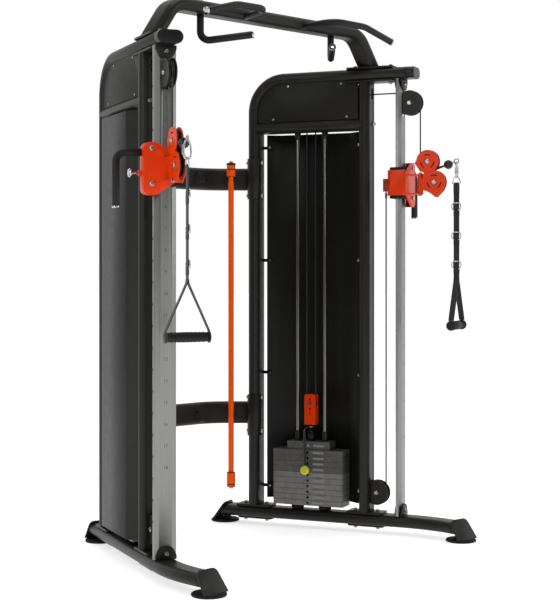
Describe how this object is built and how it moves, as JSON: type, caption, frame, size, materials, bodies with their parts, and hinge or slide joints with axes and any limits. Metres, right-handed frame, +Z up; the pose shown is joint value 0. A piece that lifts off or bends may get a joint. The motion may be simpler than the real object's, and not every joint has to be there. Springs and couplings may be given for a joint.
{
  "type": "functional trainer",
  "caption": "Free-standing dual cable trainer with splayed weight-stack towers, sliding swivel carriages and a pull-up arch.",
  "frame": {"origin": "on the floor, at the middle of the machine's footprint", "axes": "+Z up, the front faces -Y, +X to the machine's right, symmetric about X = 0 at rest but for the staff"},
  "size_m": [1.72, 1.2028, 2.197],
  "materials": {
    "frame_paint": "satin black powder coat",
    "panel_paint": "fine matt black powder coat",
    "foot_rubber": "moulded black rubber",
    "column_aluminium": "brushed anodised",
    "chrome": "polished",
    "weight_iron": "grey paint on cast plate",
    "grip_rubber": "ribbed soft grip",
    "bolt_steel": "zinc plated",
    "black_plastic": "moulded nylon",
    "orange_paint": "glossy orange powder coat",
    "yellow_plastic": "moulded knob",
    "webbing": "woven nylon",
    "cable_coat": "nylon coated steel cable"
  },
  "bodies": {
    "frame": {"base_tubes": "frame_paint", "foot_end_plates": "frame_paint", "foot_pads": "foot_rubber", "rear_uprights": "frame_paint", "front_uprights": "frame_paint", "tower_crossmembers": "frame_paint", "side_panels": "panel_paint", "adjust_columns": "column_aluminium", "column_brackets": "frame_paint", "shrouds": "panel_paint", "guide_rods": "chrome", "stack_bumpers": "foot_rubber", "lower_plates": "weight_iron", "rear_crossbars": "frame_paint", "crossbar_saddles": "frame_paint", "accessory_hooks": "frame_paint", "pull_up_arch": "frame_paint", "flange_plates": "frame_paint", "pull_up_bars": "grip_rubber", "neutral_grips": "grip_rubber", "frame_bolts": "bolt_steel", "pulley_brackets": "frame_paint", "top_tube_caps": "black_plastic"},
    "staff": {"exercise_bar": "orange_paint"},
    "stack_right": {"lifted_plates_right": "weight_iron", "selector_stem_right": "black_plastic", "pulley_block_right": "orange_paint", "stack_cable_right": "cable_coat"},
    "block_wheel_right": {"block_pulley_right": "black_plastic"},
    "pin_right": {"selector_pin_right": "yellow_plastic"},
    "slider_right": {"carriage_right": "orange_paint", "carriage_handle_right": "grip_rubber", "column_cable_right": "cable_coat"},
    "plunger_right": {"pop_pin_right": "chrome"},
    "swivel_right": {"swivel_bracket_right": "orange_paint"},
    "upper_wheel_right": {"swivel_pulley_upper_right": "black_plastic"},
    "lower_wheel_right": {"swivel_pulley_lower_right": "black_plastic"},
    "top_wheel_right": {"top_pulley_right": "black_plastic"},
    "bottom_wheel_right": {"bottom_pulley_right": "black_plastic"},
    "cable_tip_right": {"cable_end_right": "black_plastic"},
    "grip_set_right": {"hand_strap_right": "webbing", "hand_grip_right": "grip_rubber"},
    "stack_left": {"lifted_plates_left": "weight_iron", "selector_stem_left": "black_plastic", "pulley_block_left": "orange_paint", "stack_cable_left": "cable_coat"},
    "block_wheel_left": {"block_pulley_left": "black_plastic"},
    "pin_left": {"selector_pin_left": "yellow_plastic"},
    "slider_left": {"carriage_left": "orange_paint", "carriage_handle_left": "grip_rubber", "column_cable_left": "cable_coat"},
    "plunger_left": {"pop_pin_left": "chrome"},
    "swivel_left": {"swivel_bracket_left": "orange_paint"},
    "upper_wheel_left": {"swivel_pulley_upper_left": "black_plastic"},
    "lower_wheel_left": {"swivel_pulley_lower_left": "black_plastic"},
    "top_wheel_left": {"top_pulley_left": "black_plastic"},
    "bottom_wheel_left": {"bottom_pulley_left": "black_plastic"},
    "cable_tip_left": {"cable_end_left": "black_plastic"},
    "grip_set_left": {"hand_strap_left": "webbing", "hand_grip_left": "grip_rubber"}
  },
  "joints": [
    {"name": "staff_lift_out", "type": "slide", "parent": "frame", "child": "staff", "axis": [-0.7071, -0.7071, 0], "range_m": [0, 0.3]},
    {"name": "stack_lift_right", "type": "slide", "parent": "frame", "child": "stack_right", "axis": [0, 0, 1], "range_m": [0, 0.9], "deforming": ["stack_cable_right"]},
    {"name": "block_pulley_turn_right", "type": "hinge", "parent": "stack_right", "child": "block_wheel_right", "pos_m": [0.51365, 0.14176, 0.5475], "axis": [0.9287, 0.3709, 0], "continuous": true},
    {"name": "selector_pin_pull_right", "type": "slide", "parent": "stack_right", "child": "pin_right", "axis": [-0.9287, -0.3709, 0], "range_m": [0, 0.09]},
    {"name": "carriage_slide_right", "type": "slide", "parent": "frame", "child": "slider_right", "axis": [0, 0, 1], "range_m": [-0.72, 0.16], "deforming": ["column_cable_right"]},
    {"name": "pop_pin_pull_right", "type": "slide", "parent": "slider_right", "child": "plunger_right", "axis": [0.9287, 0.3709, 0], "range_m": [-0.009, 0.009]},
    {"name": "swivel_turn_right", "type": "hinge", "parent": "slider_right", "child": "swivel_right", "pos_m": [0.70419, -0.327, 1.513], "axis": [0, 0, 1], "range_deg": [-85, 85]},
    {"name": "upper_pulley_turn_right", "type": "hinge", "parent": "swivel_right", "child": "upper_wheel_right", "pos_m": [0.71717, -0.35951, 1.61], "axis": [0.9287, 0.3709, 0], "continuous": true},
    {"name": "lower_pulley_turn_right", "type": "hinge", "parent": "swivel_right", "child": "lower_wheel_right", "pos_m": [0.7283, -0.38737, 1.521], "axis": [0.9287, 0.3709, 0], "continuous": true},
    {"name": "top_pulley_turn_right", "type": "hinge", "parent": "frame", "child": "top_wheel_right", "pos_m": [0.6875, -0.28521, 1.866], "axis": [0.9287, 0.3709, 0], "continuous": true},
    {"name": "bottom_pulley_turn_right", "type": "hinge", "parent": "frame", "child": "bottom_wheel_right", "pos_m": [0.6315, -0.14498, 0.173], "axis": [0.9287, 0.3709, 0], "continuous": true},
    {"name": "cable_pull_right", "type": "slide", "parent": "swivel_right", "child": "cable_tip_right", "axis": [0.3485, -0.8727, 0.342], "range_m": [0, 1.8]},
    {"name": "strap_swing_right", "type": "hinge", "parent": "cable_tip_right", "child": "grip_set_right", "pos_m": [0.7639, -0.47652, 1.605], "axis": [0.9287, 0.3709, 0], "range_deg": [-60, 8]},
    {"name": "stack_lift_left", "type": "slide", "parent": "frame", "child": "stack_left", "axis": [0, 0, 1], "range_m": [0, 0.9], "deforming": ["stack_cable_left"]},
    {"name": "block_pulley_turn_left", "type": "hinge", "parent": "stack_left", "child": "block_wheel_left", "pos_m": [-0.51365, 0.14176, 0.5475], "axis": [-0.9287, 0.3709, 0], "continuous": true},
    {"name": "selector_pin_pull_left", "type": "slide", "parent": "stack_left", "child": "pin_left", "axis": [0.9287, -0.3709, 0], "range_m": [0, 0.09]},
    {"name": "carriage_slide_left", "type": "slide", "parent": "frame", "child": "slider_left", "axis": [0, 0, 1], "range_m": [-0.72, 0.16], "deforming": ["column_cable_left"]},
    {"name": "pop_pin_pull_left", "type": "slide", "parent": "slider_left", "child": "plunger_left", "axis": [-0.9287, 0.3709, 0], "range_m": [-0.009, 0.009]},
    {"name": "swivel_turn_left", "type": "hinge", "parent": "slider_left", "child": "swivel_left", "pos_m": [-0.70419, -0.327, 1.513], "axis": [0, 0, 1], "range_deg": [-85, 85]},
    {"name": "upper_pulley_turn_left", "type": "hinge", "parent": "swivel_left", "child": "upper_wheel_left", "pos_m": [-0.71717, -0.35951, 1.61], "axis": [-0.9287, 0.3709, 0], "continuous": true},
    {"name": "lower_pulley_turn_left", "type": "hinge", "parent": "swivel_left", "child": "lower_wheel_left", "pos_m": [-0.7283, -0.38737, 1.521], "axis": [-0.9287, 0.3709, 0], "continuous": true},
    {"name": "top_pulley_turn_left", "type": "hinge", "parent": "frame", "child": "top_wheel_left", "pos_m": [-0.6875, -0.28521, 1.866], "axis": [-0.9287, 0.3709, 0], "continuous": true},
    {"name": "bottom_pulley_turn_left", "type": "hinge", "parent": "frame", "child": "bottom_wheel_left", "pos_m": [-0.6315, -0.14498, 0.173], "axis": [-0.9287, 0.3709, 0], "continuous": true},
    {"name": "cable_pull_left", "type": "slide", "parent": "swivel_left", "child": "cable_tip_left", "axis": [-0.3485, -0.8727, 0.342], "range_m": [0, 1.8]},
    {"name": "strap_swing_left", "type": "hinge", "parent": "cable_tip_left", "child": "grip_set_left", "pos_m": [-0.7639, -0.47652, 1.605], "axis": [-0.9287, 0.3709, 0], "range_deg": [-8, 60]}
  ],
  "couplings": [
    {"joint": "cable_pull_right", "follows": "stack_lift_right", "ratio": 2},
    {"joint": "block_pulley_turn_right", "follows": "stack_lift_right", "rad_per_m": -47.619},
    {"joint": "upper_pulley_turn_right", "follows": "stack_lift_right", "rad_per_m": -57.143},
    {"joint": "lower_pulley_turn_right", "follows": "stack_lift_right", "rad_per_m": 57.143},
    {"joint": "top_pulley_turn_right", "follows": "stack_lift_right", "rad_per_m": -44.444},
    {"joint": "bottom_pulley_turn_right", "follows": "carriage_slide_right", "rad_per_m": 25},
    {"joint": "cable_pull_left", "follows": "stack_lift_left", "ratio": 2},
    {"joint": "block_pulley_turn_left", "follows": "stack_lift_left", "rad_per_m": 47.619},
    {"joint": "upper_pulley_turn_left", "follows": "stack_lift_left", "rad_per_m": 57.143},
    {"joint": "lower_pulley_turn_left", "follows": "stack_lift_left", "rad_per_m": -57.143},
    {"joint": "top_pulley_turn_left", "follows": "stack_lift_left", "rad_per_m": 44.444},
    {"joint": "bottom_pulley_turn_left", "follows": "carriage_slide_left", "rad_per_m": -25}
  ]
}
